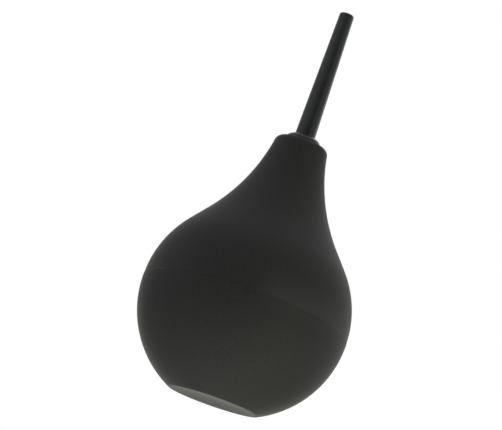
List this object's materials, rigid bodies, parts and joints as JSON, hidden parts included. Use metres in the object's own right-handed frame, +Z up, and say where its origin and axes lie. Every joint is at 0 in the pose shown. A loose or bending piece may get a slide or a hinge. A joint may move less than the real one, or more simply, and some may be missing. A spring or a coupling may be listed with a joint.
{
  "type": "dust blower bulb",
  "caption": "Hand-squeezed air bulb of soft black elastomer with a flat base, and a long thin tapered nozzle on a domed collar plugged into its neck.",
  "frame": {"origin": "centre of the bulb's flat base, on the surface it stands on", "axes": "+Z up the bulb's axis to the nozzle's tip; +X and -X through the middles of the two squeezed sides"},
  "size_m": [0.07, 0.07, 0.138],
  "materials": {
    "bulb_rubber": "matte, velvety moulded silicone rubber",
    "nozzle_plastic": "smooth glossy moulded plastic"
  },
  "bodies": {
    "bulb": {"bulb_body": "bulb_rubber"},
    "right_side": {"squeeze_wall_right": "bulb_rubber"},
    "left_side": {"squeeze_wall_left": "bulb_rubber"},
    "collar": {"nozzle_collar": "nozzle_plastic"},
    "tube": {"nozzle_tube": "nozzle_plastic"}
  },
  "joints": [
    {"name": "squeeze_right", "type": "slide", "parent": "bulb", "child": "right_side", "axis": [-1, 0, 0], "range_m": [0, 0.015], "stiffness_N_per_m": 1500},
    {"name": "squeeze_left", "type": "slide", "parent": "bulb", "child": "left_side", "axis": [1, 0, 0], "range_m": [0, 0.015], "stiffness_N_per_m": 1500},
    {"name": "collar_twist", "type": "hinge", "parent": "bulb", "child": "collar", "pos_m": [0, 0, 0.0909], "axis": [0, 0, 1], "continuous": true},
    {"name": "tube_pull", "type": "slide", "parent": "collar", "child": "tube", "axis": [0, 0, 1], "range_m": [0, 0.013]}
  ],
  "couplings": [
    {"joint": "squeeze_left", "follows": "squeeze_right", "ratio": 1}
  ]
}
